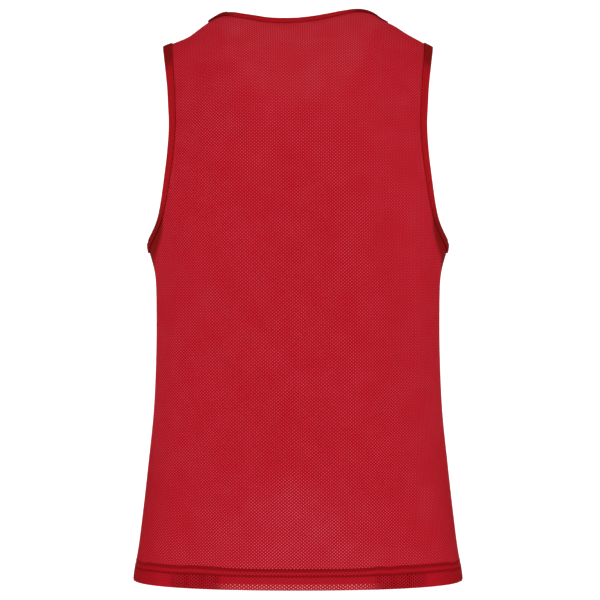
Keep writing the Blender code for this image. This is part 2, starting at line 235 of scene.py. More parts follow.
# A line of (turn, down) pairs, set out again by its length on the cloth.
def along(face, line, count):
    points = place(face, line[:, 0], line[:, 1])
    reach = np.concatenate([[0], np.cumsum(np.linalg.norm(np.diff(points, axis=0), axis=1))])
    at = np.interp(np.linspace(0, reach[-1], count + 1), reach, np.arange(len(line)))
    return np.stack([np.interp(at, np.arange(len(line)), line[:, k]) for k in (0, 1)], axis=-1)


# A net of pairs spread evenly between four edge lines.
def coons(bottom, top, inner, outer):
    u = np.linspace(0, 1, len(bottom))[None, :, None]
    v = np.linspace(0, 1, len(inner))[:, None, None]
    ruled = (1 - v) * bottom[None] + v * top[None] + (1 - u) * inner[:, None] + u * outer[:, None]
    low = (1 - u) * bottom[0] + u * bottom[-1]
    high = (1 - u) * top[0] + u * top[-1]
    return ruled - (1 - v) * low - v * high


# The armhole's edge from the side seam up to the end of the shoulder.
def armholeLine(face, hand):
    tipZ = twoSided(shoulderTable, np.array(hand * form["tipX"]))
    fine = 1 - np.cos(np.linspace(0, np.pi / 2, 400))
    z = form["underarmZ"] + fine * (tipZ - form["underarmZ"])
    x = read(armholeTable, "z", "backX" if face == back else "frontX", z)
    corner = read(bodyTable, "z", "halfWidth", np.array(form["underarmZ"]))
    near = np.clip((z - form["underarmZ"]) / (armholeTable["z"].min() - form["underarmZ"]), 0, 1)
    x = corner + (x - corner) * np.sqrt(near) * np.sqrt(2 - near)
    line = turnAndDown(face, hand * x, z)
    line[0, 0] = hand * np.pi / 2
    line[-1] = turnAndDown(face, np.array(hand * form["tipX"]), tipZ)
    line[-1, 1] = 0
    return line


def neckLine(face, hand):
    x = hand * form["neckX"] * np.sin(np.linspace(0, np.pi / 2, 400))
    line = turnAndDown(face, x, twoSided(backNeckTable if face == back else frontNeckTable, x))
    line[-1, 1] = 0
    return line


def hemZ(face, turn):
    if face == back:
        return form["backHemZ"] + form["backHemNotch"] * np.abs(np.sin(turn)) ** 40
    side = form["frontHemSideZ"] - form["frontHemZ"]
    return form["frontHemZ"] + side * np.sin(turn) ** 2


# (turn, down) pairs at one height over the hem's edge.
def hemRow(face, turns, up):
    halfWidth = read(bodyTable, "z", "halfWidth", hemZ(face, turns))
    x = rounded(turns, form["roundness"])[0] * halfWidth
    row = turnAndDown(face, x, hemZ(face, turns) + up)
    row[:, 0] = turns
    return row


# A net for each panel: (turn, down) pairs, keyed by column and row, column 0 in the middle.
net = {
    "neckColumns": 26,
    "strapColumns": 14,
    "underarmColumns": 16,
    "bodyRows": 64,
    "shoulderRows": 52,
    "hemHeights": (0, 0.004, 0.010, 0.0155, 0.0170, 0.0185, 0.0225, 0.0240, 0.0255),
}
armColumn = net["neckColumns"] + net["strapColumns"]
sideColumn = armColumn + net["underarmColumns"]
bodyTop = len(net["hemHeights"]) - 1 + net["bodyRows"]
topRow = bodyTop + net["shoulderRows"]


def halfPanel(face, hand):
    turns = hand * np.linspace(0, 1, sideColumn + 1) * np.pi / 2
    hem = [hemRow(face, turns, up) for up in net["hemHeights"]]
    armhole = armholeLine(face, hand)
    chest = np.argmin(np.abs(place(face, *armhole.T)[:, 2] - form["chestZ"]))
    low, high = armhole[: chest + 1], armhole[chest:]
    middle = np.array([0.0, turnAndDown(face, np.array(0.0), np.array(form["chestZ"]))[1]])
    across = middle + np.linspace(0, 1, 200)[:, None] * (low[-1] - middle)
    chestRow = along(face, across, armColumn)
    top = np.concatenate([chestRow, along(face, low[::-1], net["underarmColumns"])[1:]])
    rise = np.linspace(0, 1, net["bodyRows"] + 1)[:, None]
    inner = hem[-1][0] + rise * (top[0] - hem[-1][0])
    outer = hem[-1][-1] + rise * (top[-1] - hem[-1][-1])
    body = coons(hem[-1], top, inner, outer)
    neck = along(face, neckLine(face, hand), net["neckColumns"])
    seamX = hand * np.linspace(form["neckX"], form["tipX"], 200)
    seam = turnAndDown(face, seamX, twoSided(shoulderTable, seamX))
    seam[:, 1] = 0
    seam = along(face, seam, net["strapColumns"])
    neck[-1] = seam[0]
    crown = np.concatenate([neck, seam[1:]])
    edge = along(face, high, net["shoulderRows"])
    edge[-1] = crown[-1]
    up = along(face, np.linspace(middle, crown[0], 200), net["shoulderRows"])
    return hem[:-1] + list(body) + list(coons(chestRow, crown, up, edge))[1:]


def panelNet(face):
    pairs = {}
    for hand in (-1, 1):
        for row, line in enumerate(halfPanel(face, hand)):
            for column, pair in enumerate(line):
                pairs[hand * column, row] = pair
    return pairs


# Lengths along the cloth: across from the middle of the face, and up from a level row.
class Grain:
    def __init__(self, face):
        self.turns = np.linspace(-np.pi / 2, np.pi / 2, 181)
        self.downs = np.linspace(0, 4.4, 221)
        turn, down = np.meshgrid(self.turns, self.downs, indexing="ij")
        points = place(face, turn, down)
        across = np.linalg.norm(np.diff(points, axis=0), axis=2)
        along = np.linalg.norm(np.diff(points, axis=1), axis=2)
        self.u = np.concatenate([np.zeros((1, len(self.downs))), np.cumsum(across, axis=0)])
        self.u -= self.u[len(self.turns) // 2]
        self.v = -np.concatenate([np.zeros((len(self.turns), 1)), np.cumsum(along, axis=1)], 1)
        for lengths, heights in zip(self.v, points[..., 2]):
            lengths -= np.interp(-form["levelZ"], -heights, lengths)

    def at(self, turn, down):
        i = (turn - self.turns[0]) / (self.turns[1] - self.turns[0])
        i = np.clip(i, 0, len(self.turns) - 1.001)
        j = np.clip(down / self.downs[1], 0, len(self.downs) - 1.001)
        a, b = i.astype(int), j.astype(int)
        right, lower = i - a, j - b
        return np.stack([
            (1 - right) * (1 - lower) * lengths[a, b] + right * (1 - lower) * lengths[a + 1, b]
            + (1 - right) * lower * lengths[a, b + 1] + right * lower * lengths[a + 1, b + 1]
            for lengths in (self.u, self.v)
        ], axis=-1)


def addObject(name, data):
    made = bpy.data.objects.new(name, data)
    bpy.context.scene.collection.objects.link(made)
    return made


# A mesh object with metric coordinates of its cloth and named values at its points.
def newPiece(name, points, faces, material, uv=None, values=None):
    mesh = bpy.data.meshes.new(name)
    mesh.from_pydata(np.asarray(points, float).tolist(), [], [list(map(int, f)) for f in faces])
    mesh.validate()
    mesh.shade_smooth()
    corners = np.empty(len(mesh.loops), int)
    mesh.loops.foreach_get("vertex_index", corners)
    if uv is not None:
        layer = mesh.uv_layers.new(name="grain")
        layer.data.foreach_set("uv", np.asarray(uv, float)[corners].ravel())
    for key, value in (values or {}).items():
        attribute = mesh.attributes.new(key, "FLOAT", "POINT")
        attribute.data.foreach_set("value", np.asarray(value, float))
    mesh.materials.append(material)
    return addObject(name, mesh)


# Short calls for adding and joining the nodes of one tree.
class Nodes:
    def __init__(self, tree):
        self.tree = tree

    def add(self, kind, inputs=None, **settings):
        node = self.tree.nodes.new(kind)
        for key, value in settings.items():
            setattr(node, key, value)
        for key, value in (inputs or {}).items():
            self.put(node.inputs[key], value)
        return node

    def put(self, socket, value):
        if isinstance(value, bpy.types.NodeSocket):
            self.tree.links.new(value, socket)
        else:
            socket.default_value = value

    def math(self, operation, a, b=0.0, c=0.0):
        return self.add("ShaderNodeMath", {0: a, 1: b, 2: c}, operation=operation).outputs[0]

    def times(self, a, b):
        return self.math("MULTIPLY", a, b)

    def vector(self, operation, a, b=(0, 0, 0)):
        node = self.add("ShaderNodeVectorMath", {0: a, 1: b}, operation=operation)
        return node.outputs["Value" if operation == "LENGTH" else "Vector"]

    def smooth(self, value, low, high, toLow=0.0, toHigh=1.0):
        node = self.add("ShaderNodeMapRange", interpolation_type="SMOOTHSTEP")
        for key, item in zip((0, 1, 2, 3, 4), (value, low, high, toLow, toHigh)):
            self.put(node.inputs[key], item)
        return node.outputs[0]

    def mix(self, factor, a, b):
        node = self.add("ShaderNodeMix", data_type="RGBA")
        for key, item in ((0, factor), (6, a), (7, b)):
            self.put(node.inputs[key], item)
        return node.outputs[2]

    def noise(self, vector, scale, detail=2.0):
        inputs = {"Vector": vector, "Scale": scale, "Detail": detail}
        return self.add("ShaderNodeTexNoise", inputs).outputs["Fac"]

    def value(self, name):
        node = self.add("ShaderNodeAttribute", attribute_name=name)
        return node.outputs["Fac"]


def newGroup(name, inputs, outputs):
    group = bpy.data.node_groups.new(name, "ShaderNodeTree")
    for label, kind, value in inputs:
        socket = group.interface.new_socket(label, in_out="INPUT", socket_type=kind)
        if value is not None:
            socket.default_value = value
    for label, kind in outputs:
        group.interface.new_socket(label, in_out="OUTPUT", socket_type=kind)
    nodes = Nodes(group)
    return group, nodes, nodes.add("NodeGroupInput").outputs, nodes.add("NodeGroupOutput").inputs


# Staggered round holes, two to a cell, and the yarn that stands up round each.
def holesGroup():
    group, nodes, given, out = newGroup(
        "staggeredHoles",
        (
            ("Grain", "NodeSocketVector", None),
            ("Cell Width", "NodeSocketFloat", 0.0046),
            ("Cell Height", "NodeSocketFloat", 0.0038),
            ("Hole Radius", "NodeSocketFloat", 0.0006),
            ("Softness", "NodeSocketFloat", 0.0002),
            ("Unevenness", "NodeSocketFloat", 0.2),
            ("Yarn Reach", "NodeSocketFloat", 2.2),
            ("Drift Scale", "NodeSocketFloat", 38.0),
        ),
        (("Hole", "NodeSocketFloat"), ("Yarn", "NodeSocketFloat")),
    )
    size = nodes.add("ShaderNodeCombineXYZ", {0: given[1], 1: given[2], 2: 1.0}).outputs[0]
    cells = nodes.vector("DIVIDE", given[0], size)
    distances = []
    for shift in (0.0, 0.5):
        moved = nodes.vector("ADD", cells, (shift, shift, 0))
        inside = nodes.vector("SUBTRACT", nodes.vector("FRACTION", moved), (0.5, 0.5, 0.0))
        flat = nodes.vector("MULTIPLY", nodes.vector("MULTIPLY", inside, size), (1, 1, 0))
        distances.append(nodes.vector("LENGTH", flat))
    nearest = nodes.math("MINIMUM", *distances)
    drift = nodes.math("SUBTRACT", nodes.noise(given[0], given[7]), 0.5)
    grown = nodes.math("MULTIPLY_ADD", drift, nodes.times(given[5], 2.0), 1.0)
    radius = nodes.times(given[3], grown)
    low = nodes.math("SUBTRACT", radius, given[4])
    high = nodes.math("ADD", radius, given[4])
    nodes.put(out[0], nodes.smooth(nearest, low, high, 1.0, 0.0))
    nodes.put(out[1], nodes.smooth(nearest, radius, nodes.times(radius, given[6])))
    return group


# Knitted loops: rows of small leaning dashes, as a height from 0 to 1.
def stitchesGroup():
    group, nodes, given, out = newGroup(
        "knittedLoops",
        (
            ("Grain", "NodeSocketVector", None),
            ("Wale", "NodeSocketFloat", 0.0007),
            ("Course", "NodeSocketFloat", 0.0005),
            ("Lean", "NodeSocketFloat", 1.6),
        ),
        (("Loops", "NodeSocketFloat"),),
    )
    parts = nodes.add("ShaderNodeSeparateXYZ", {0: given[0]}).outputs
    across = nodes.times(nodes.math("DIVIDE", parts[0], given[1]), 2 * np.pi)
    upward = nodes.times(nodes.math("DIVIDE", parts[1], given[2]), 2 * np.pi)
    wales = nodes.math("SINE", across)
    leaning = nodes.math("MULTIPLY_ADD", nodes.math("ABSOLUTE", wales), given[3], upward)
    leaning = nodes.math("SINE", leaning)
    both = nodes.math("ADD", nodes.times(wales, 0.5), nodes.times(leaning, 0.5))
    nodes.put(out[0], nodes.math("MULTIPLY_ADD", both, 0.5, 0.5))
    return group


holes, loops = holesGroup(), stitchesGroup()


def newMaterial(name):
    material = bpy.data.materials.new(name)
    material.use_nodes = True
    nodes = Nodes(material.node_tree)
    return material, nodes, material.node_tree.nodes["Principled BSDF"].inputs


clothLook = {"sheenTint": (1.0, 0.25, 0.30, 1), "specular": 0.1, "ior": 1.06, "bump": 0.8}


# Dull cloth: hardly any mirror-like light, and a faint red sheen.
def makeDull(nodes, shader, sheen, sheenRoughness):
    nodes.put(shader["Sheen Weight"], sheen)
    nodes.put(shader["Sheen Roughness"], sheenRoughness)
    nodes.put(shader["Sheen Tint"], clothLook["sheenTint"])
    nodes.put(shader["Specular IOR Level"], clothLook["specular"])
    nodes.put(shader["IOR"], clothLook["ior"])


panelLook = {
    "red": (0.395, 0.0040, 0.0105, 1),
    "deepRed": (0.235, 0.0028, 0.0060, 1),
    "holeLightRed": (0.520, 0.0900, 0.1300, 1),
    # Dark red of seams and stitched rows, also used for painted shade.
    "seamAndShadeRed": (0.150, 0.0040, 0.0030, 1),
    "cell": (0.0044, 0.0039),
    "hole": 0.00070,
    "softness": 0.00022,
    "core": 0.00032,
    "openness": 0.10,
    "patches": (22.0, 0.66, 0.93),
    "cloud": (9.0, 0.03),
    "fine": (420.0, 0.20),
    "holeLight": 0.68,
    "sideShade": 0.55,
    "cornerShade": 0.5,
    "underarmShadeStrength": 0.85,
    "lineDark": 0.62,
    "lineDepth": -0.0008,
    "seamLine": (0.0006, 0.0022),
    "hemRows": ((0.0165, 0.0005, 0.0020), (0.0240, 0.0008, 0.0036)),
    "hemDotsTo": (0.0150, 0.0175),
    "paleDotsTo": (0.0060, 0.0075),
    "doubledTo": (0.0230, 0.0250, 0.22),
    "litAbove": (0.0220, 0.0240, 0.30),
    "hemCell": (0.0055, 0.0037),
    "darkDot": 0.00095,
    "paleDot": 0.00072,
    "dotSoftness": 0.00020,
    "hemPaintedShade": (0.030, 0.0012, 0.0008, 1),
    "hemPaintedLight": (0.800, 0.3000, 0.3300, 1),
    "yarnDepth": 0.00025,
    "loopDepth": 0.00006,
    "roughness": (0.12, 0.72),
    "sheen": (0.01, 0.45),
}


# Red mesh: painted light makes the yarn round each hole pale, as if light shone through it; open at the
# hole's core.
def meshMaterial():
    material, nodes, shader = newMaterial("redMicroMesh")
    look = panelLook
    grain = nodes.add("ShaderNodeUVMap", uv_map="grain").outputs[0]

    def holesAt(cell, radius, softness):
        sizes = {0: grain, 1: cell[0], 2: cell[1], 3: radius, 4: softness}
        return nodes.add("ShaderNodeGroup", sizes, node_tree=holes).outputs

    hole, yarn = holesAt(look["cell"], look["hole"], look["softness"])
    core = holesAt(look["cell"], look["core"], look["core"] / 3)[0]
    knit = nodes.add("ShaderNodeGroup", {0: grain}, node_tree=loops).outputs[0]
    fromHem = nodes.value("fromHem")
    fromSeam = nodes.value("fromSeam")
    # Painted light: how much paler the holes are, low in the middle and high on the back.
    paintedLight = nodes.value("paintedLight")
    seam = nodes.smooth(fromSeam, *look["seamLine"], 1.0, 0.0)
    rows = []
    for height, inner, outer in look["hemRows"]:
        gap = nodes.math("ABSOLUTE", nodes.math("SUBTRACT", fromHem, height))
        rows.append(nodes.smooth(gap, inner, outer, 1.0, 0.0))
    line = nodes.math("MAXIMUM", seam, nodes.math("MAXIMUM", *rows))
    inHem = nodes.smooth(fromHem, *look["hemDotsTo"], 1.0, 0.0)
    patchScale, patchLow, patchHigh = look["patches"]
    patches = nodes.smooth(nodes.noise(grain, patchScale, 3.0), 0.35, 0.65, patchLow, patchHigh)
    lit = nodes.times(nodes.math("ADD", patches, paintedLight), nodes.math("SUBTRACT", 1.0, line))
    lit = nodes.times(lit, nodes.smooth(fromHem, *look["litAbove"], 1.0))
    cloud = nodes.smooth(nodes.noise(grain, look["cloud"][0], 3.0), 0.3, 0.7)
    fine = nodes.noise(grain, look["fine"][0], 3.0)
    colour = nodes.mix(nodes.times(cloud, look["cloud"][1]), look["red"], look["deepRed"])
    colour = nodes.mix(nodes.times(fine, look["fine"][1]), colour, look["deepRed"])
    # Painted shade: near-black dots in the hem's holes in a band on each side, as the shaded inside seen
    # through them.
    shadeDots = holesAt(look["hemCell"], look["darkDot"], look["dotSoftness"])[0]
    shadeDots = nodes.times(nodes.times(shadeDots, inHem), nodes.value("hemPaintedShade"))
    # Painted light: pale dots low in the back's hem, as the bright backdrop seen through its holes.
    lightDots = holesAt(look["hemCell"], look["paleDot"], look["dotSoftness"])[0]
    belowRows = nodes.smooth(fromHem, *look["paleDotsTo"], 1.0, 0.0)
    lightDots = nodes.times(lightDots, nodes.times(nodes.value("hemPaintedLight"), belowRows))
    doubled = nodes.smooth(fromHem, *look["doubledTo"], 0.0)
    colour = nodes.mix(doubled, colour, look["deepRed"])
    # Painted light: the holes turn pale where light is taken to shine through them.
    pale = nodes.times(nodes.times(hole, lit), look["holeLight"])
    colour = nodes.mix(pale, colour, look["holeLightRed"])
    # Painted shade: darker towards the side seams, most at the hem's corners.
    sideShade = nodes.value("sideShade")
    corner = nodes.times(nodes.times(sideShade, inHem), look["cornerShade"])
    # Painted shade below the arms, next to the armhole's lower edge.
    underarmShade = nodes.times(nodes.value("underarmShade"), look["underarmShadeStrength"])
    colour = nodes.mix(nodes.times(sideShade, look["sideShade"]), colour, look["deepRed"])
    colour = nodes.mix(corner, colour, look["seamAndShadeRed"])
    colour = nodes.mix(underarmShade, colour, look["seamAndShadeRed"])
    colour = nodes.mix(shadeDots, colour, look["hemPaintedShade"])
    colour = nodes.mix(lightDots, colour, look["hemPaintedLight"])
    colour = nodes.mix(nodes.times(line, look["lineDark"]), colour, look["seamAndShadeRed"])
    nodes.put(shader["Base Color"], colour)
    closed = nodes.math("SUBTRACT", 1.0, line)
    opening = nodes.times(nodes.times(core, closed), look["openness"])
    nodes.put(shader["Alpha"], nodes.math("SUBTRACT", 1.0, opening))
    nodes.put(shader["Roughness"], nodes.math("MULTIPLY_ADD", fine, *look["roughness"]))
    height = nodes.times(yarn, look["yarnDepth"])
    height = nodes.math("MULTIPLY_ADD", knit, look["loopDepth"], height)
    height = nodes.math("MULTIPLY_ADD", line, look["lineDepth"], height)
    bump = nodes.add("ShaderNodeBump", {"Height": height, "Distance": 1.0, "Strength": clothLook["bump"]})
    nodes.put(shader["Normal"], bump.outputs[0])
    makeDull(nodes, shader, *look["sheen"])
    return material


bindingLook = {
    "red": (0.390, 0.0070, 0.0110, 1),
    "brown": (0.120, 0.0040, 0.0022, 1),
    "rib": 0.0011,
    "course": 0.0008,
    "ribDepth": 0.00012,
    "fine": (500.0, 0.25),
    "ribShadow": 0.12,
    "roughness": (0.10, 0.74),
    "sheen": (0.02, 0.5),
}


# Fine flat knit. Its grain runs along the tape and then across it.
def bindingMaterial():
    material, nodes, shader = newMaterial("flatKnitTape")
    look = bindingLook
    grain = nodes.add("ShaderNodeUVMap", uv_map="grain").outputs[0]
    knit = nodes.add("ShaderNodeGroup", {0: grain}, node_tree=loops)
    knit.inputs["Wale"].default_value = look["rib"]
    knit.inputs["Course"].default_value = look["course"]
    shade = nodes.value("shade")
    fine = nodes.noise(grain, look["fine"][0], 3.0)
    colour = nodes.mix(nodes.times(fine, look["fine"][1]), look["red"], look["brown"])
    shadow = nodes.times(nodes.math("SUBTRACT", 1.0, knit.outputs[0]), look["ribShadow"])
    colour = nodes.mix(shadow, colour, look["brown"])
    # Painted shade: the shade value turns the tape brown.
    colour = nodes.mix(shade, colour, look["brown"])
    nodes.put(shader["Base Color"], colour)
    nodes.put(shader["Roughness"], nodes.math("MULTIPLY_ADD", fine, *look["roughness"]))
    height = nodes.times(knit.outputs[0], look["ribDepth"])
    bump = nodes.add("ShaderNodeBump", {"Height": height, "Distance": 1.0, "Strength": clothLook["bump"]})
    nodes.put(shader["Normal"], bump.outputs[0])
    makeDull(nodes, shader, *look["sheen"])
    return material


threadLook = {
    "red": (0.33, 0.007, 0.010, 1),
    "deep": (0.25, 0.008, 0.010, 1),
    "deepShare": 0.4,
    "roughness": 0.7,
    "sheen": (0.0, 0.5),
}


def threadMaterial(name):
    material, nodes, shader = newMaterial(name)
    where = nodes.add("ShaderNodeTexCoord").outputs["Object"]
    fine = nodes.noise(where, 1400.0, 2.0)
    deep = nodes.times(fine, threadLook["deepShare"])
    nodes.put(shader["Base Color"], nodes.mix(deep, threadLook["red"], threadLook["deep"]))
    nodes.put(shader["Roughness"], threadLook["roughness"])
    bump = nodes.add("ShaderNodeBump", {"Height": fine, "Distance": 0.0001, "Strength": 0.6})
    nodes.put(shader["Normal"], bump.outputs[0])
    makeDull(nodes, shader, *threadLook["sheen"])
    return material


meshRed = meshMaterial()
tapeRed = bindingMaterial()
threadRed = threadMaterial("redThread")
print("materials ready")

panelSettings = {
    "foldRadius": 0.0008,
    "foldSteps": 4,
    "innerHem": (0.001, 0.006, 0.012, 0.018, 0.0245),
    "innerEase": 0.0006,
    "innerGrain": (0.0017, -0.0011),
    "foldGrain": 0.0008,
    "plainFromHem": 0.1,
    "plainFromSeam": 0.006,
    "seamDip": 0.0006,
    "stretch": 0.45,
    "paintedLightTop": -0.53,
    "paintedLightFade": 0.06,
    "paintedLightWidth": (0.03, 0.72),
    "paintedLightLow": 0.75,
    "paintedLightHigh": 0.15,
    "paintedLightHighAt": (0.06, -0.09),
    "paintedLightHighSize": (0.05, 0.07),
    "sideFrom": 0.9,
    "sideFade": 0.5,
    "sideAbove": 0.35,
    "cornerTop": -0.48,
    "cornerFade": 0.08,
    "underarmZ": (-0.262, -0.240, -0.205),
    "underarmShadeReach": (0.036, 0.026, 0.0),
    "underarmShadeFade": 0.006,
    "underarmShadeTop": -0.19,
    "hemShadeAt": (0.1255, 0.0315),
    "hemLightTo": 0.094,
    "hemPaintedLight": 0.75,
    "hemEdge": 12,
}


# Values at the cloth's points that say where light and shade are painted on it: painted light in the
# holes, painted shade at the sides and below the arms, and painted shade and light seen through the hem's
# holes.
def panelShading(face, turn, points):
    given = panelSettings
    x, _, z = points.T
    # Painted light through the holes, low in the middle and in two spots high on the back.
    below = np.maximum(given["paintedLightTop"] - z, 0)
    width, widening = given["paintedLightWidth"]
    across = np.exp(-((x / (width + widening * below)) ** 2))
    paintedLight = given["paintedLightLow"] * np.clip(below / given["paintedLightFade"], 0, 1) * across
    (highX, highZ), (highWidth, highHeight) = given["paintedLightHighAt"], given["paintedLightHighSize"]
    paintedLight += given["paintedLightHigh"] * np.exp(
        -(((np.abs(x) - highX) / highWidth) ** 2) - ((z - highZ) / highHeight) ** 2)
    # Painted shade towards the side seams, stronger near the hem.
    sideShade = np.clip((np.abs(turn) - given["sideFrom"]) / given["sideFade"], 0, 1)
    corner = np.clip((given["cornerTop"] - z) / given["cornerFade"], 0, 1)
    sideShade *= given["sideAbove"] + (1 - given["sideAbove"]) * corner
    # Painted shade round the armhole's lower part, widest at the side seam.
    edges = np.concatenate([place(face, *armholeLine(face, hand).T)[::4] for hand in (-1, 1)])
    edges = edges[edges[:, 2] < given["underarmShadeTop"]]
    away = np.linalg.norm(points[:, None] - edges[None], axis=2)
    nearest = edges[np.argmin(away, axis=1), 2]
    reach = np.interp(nearest, given["underarmZ"], given["underarmShadeReach"])
    underarmShade = np.clip((reach - away.min(axis=1)) / given["underarmShadeFade"], 0, 1)
    # Painted shade seen through the hem's holes in a band on each side.
    darkX, darkWidth = given["hemShadeAt"]
    hemPaintedShade = np.exp(-(((np.abs(x) - darkX) / darkWidth) ** given["hemEdge"]))
    # Painted backdrop light seen through the holes low in the back's hem, round the middle.
    hemPaintedLight = np.exp(-((x / given["hemLightTo"]) ** given["hemEdge"]))
    hemPaintedLight *= given["hemPaintedLight"] * (face == back)
    return {"paintedLight": paintedLight, "sideShade": sideShade, "underarmShade": underarmShade,
            "hemPaintedShade": hemPaintedShade, "hemPaintedLight": hemPaintedLight}


# The hem turned up inside, line by line: a round fold, then a second layer.
def hemTurnUp(face, turns, grain, edge, normals, downward, edgeUv):
    given = panelSettings
    radius, steps = given["foldRadius"], given["foldSteps"]
    lines, lineUv, fromHem = [], [], []
    for k in range(1, steps + 1):
        angle = np.pi * k / steps
        inwardShift = normals * radius * (1 - np.cos(angle))
        lines.append(edge - inwardShift + downward * radius * np.sin(angle))
        lineUv.append(edgeUv - [0, k * given["foldGrain"]])
        fromHem.append(0.0)
    for up in given["innerHem"]:
        row = hemRow(face, turns, up)
        ease = given["innerEase"] * np.sin(np.pi * min(up / given["innerHem"][-1], 1))
        surface, normal = place(face, *row.T), outward(face, *row.T)
        side = np.abs(turns) > np.pi / 2 - 1e-6
        normal[side, 1] = 0
        surface[side, 1] = 0
        lines.append(surface - unit(normal) * (2 * radius + ease))
        right, upward = given["innerGrain"]
        above = 2 * edgeUv[:, 1] - grain.at(*row.T)[:, 1] + upward
        lineUv.append(np.stack([edgeUv[:, 0] + right, above], axis=1))
        fromHem.append(given["plainFromHem"])
    return lines, lineUv, fromHem


# One face of the vest: a single layer of cloth that turns up inside at the hem.
def makePanel(name, face):
    pairs = panelNet(face)
    keys = list(pairs)
    at = np.array([pairs[key] for key in keys])
    turn, down = at.T
    points, normals = place(face, turn, down), outward(face, turn, down)
    columns, rows = np.array(keys).T
    onSide = np.abs(columns) == sideColumn
    onShoulder = (rows == topRow) & (np.abs(columns) >= net["neckColumns"])
    seam = onSide | onShoulder
    normals[seam, 1] = 0
    normals = unit(normals)
    points[seam, 1] = 0
    points[seam] -= normals[seam] * panelSettings["seamDip"]
    grain = Grain(face)
    uv = grain.at(turn, down)
    uv[:, 0] += panelSettings["stretch"] * (points[:, 0] - uv[:, 0])
    heights = np.array(net["hemHeights"])
    fromHem = np.where(rows < len(heights), heights[np.minimum(rows, len(heights) - 1)],
                       panelSettings["plainFromHem"])
    fromSeam = np.where(seam, 0.0, panelSettings["plainFromSeam"])
    shading = panelShading(face, turn, points)
    index = {key: i for i, key in enumerate(keys)}
    faces = []
    for column, row in keys:
        cell = [(column, row), (column + 1, row), (column + 1, row + 1), (column, row + 1)]
        if all(key in index for key in cell):
            faces.append([index[key] for key in cell][::-face])
    bottom = [index[column, 0] for column in range(-sideColumn, sideColumn + 1)]
    secondRow = [index[column, 1] for column in range(-sideColumn, sideColumn + 1)]
    downward = unit(points[bottom] - points[secondRow])
    lines, lineUv, lineHem = hemTurnUp(
        face, turn[bottom], grain, points[bottom], normals[bottom], downward, uv[bottom])
    previous = bottom
    count = len(points)
    for line, part, height in zip(lines, lineUv, lineHem):
        current = list(range(count, count + len(line)))
        count += len(line)
        points = np.concatenate([points, line])
        uv = np.concatenate([uv, part])
        fromHem = np.concatenate([fromHem, np.full(len(line), height)])
        fromSeam = np.concatenate([fromSeam, np.full(len(line), panelSettings["plainFromSeam"])])
        for i in range(len(line) - 1):
            cell = [current[i], current[i + 1], previous[i + 1], previous[i]]
            faces.append(cell[::-face])
        previous = current
    inside = np.zeros(len(points) - len(keys))
    values = {key: np.concatenate([value, inside]) for key, value in shading.items()}
    values.update(fromHem=fromHem, fromSeam=fromSeam)
    return newPiece(name, points, faces, meshRed, uv, values)


# Points and normals on the cloth, at shares of a width square in from an edge line.
def stripAcross(face, line, width, shares, inwardHint):
    turn, down = line.T
    edge = place(face, turn, down)
    run = np.gradient(edge, axis=0)
    points, normals = [], []
    for share in shares:
        at = line.copy()
        for step in (0.5, 1.0) if share else ():
            here, out = place(face, *at.T), outward(face, *at.T)
            inward = np.cross(out, run)
            inward = unit(inward) * np.sign(np.sum(inward * inwardHint, axis=1))[:, None]
            target = edge + inward * width * share * step
            axes = np.stack(directions(face, *at.T), axis=-1)
            move = np.linalg.pinv(axes) @ (target - here)[..., None]
            at = at + move[..., 0]
            at[:, 1] = np.maximum(at[:, 1], 0)
        points.append(place(face, *at.T))
        normals.append(outward(face, *at.T))
    return np.array(points), np.array(normals)


bindingSettings = {
    "gap": 0.0004,
    "wall": 0.0010,
    "cloth": 0.0012,
    "crown": 0.00025,
    "stitchRise": 0.000175,
    "foldGrain": 0.0015,
    "lapWall": 0.0008,
    "neckWidth": 0.0102,
    "neckLap": (0, 19),
    "armholeWidth": 0.0112,
    "armholeLap": 12,
    "shares": (0, 0.2, 0.4, 0.6, 0.8, 0.93, 1.0),
    "foldAngles": np.radians([22.5, 45, 67.5, 90, 112.5, 135, 157.5]),
    "neckSteps": 150,
    "neckCentre": (0.02, 0.10),
    "armholeSteps": 130,
    "armholeCentre": (0.19, -0.13),
    "armholeLean": 0.3,
    "neckShade": (0.03, 0.85),
    "neckShadeFrom": (0.066, 0.012),
    "neckMiddle": -0.006,
    "armShade": (0.04, 0.70, 0.72),
    "armShadeTop": (-0.052, 0.014),
    "armShadeLow": (-0.205, 0.030),
}


# Both faces' strips joined into one ring that starts and ends on a seam.
def ringStrips(lines, width, hints):
    shares = bindingSettings["shares"]
    strips = [stripAcross(face, line, width, shares, hint) for (face, line), hint in zip(lines, hints)]
    for points, normals in strips:
        for end in (0, -1):
            points[:, end, 1] = 0
            normals[:, end, 1] = 0
    (firstPoints, firstNormals), (secondPoints, secondNormals) = strips
    points = np.concatenate([firstPoints, secondPoints[:, -2:0:-1]], axis=1)
    normals = unit(np.concatenate([firstNormals, secondNormals[:, -2:0:-1]], axis=1))
    return points, normals


# Turns all faces over where those of the given wall look inwards.
def facingOut(points, faces, wall):
    corners = np.asarray(points)[np.array(wall)]
    a, b, c, d = (corners - corners.reshape(-1, 3).mean(axis=0)).transpose(1, 0, 2)
    inwards = np.sum(a * (np.cross(b, c) + np.cross(c, d))) < 0
    return [face[::-1] for face in faces] if inwards else faces


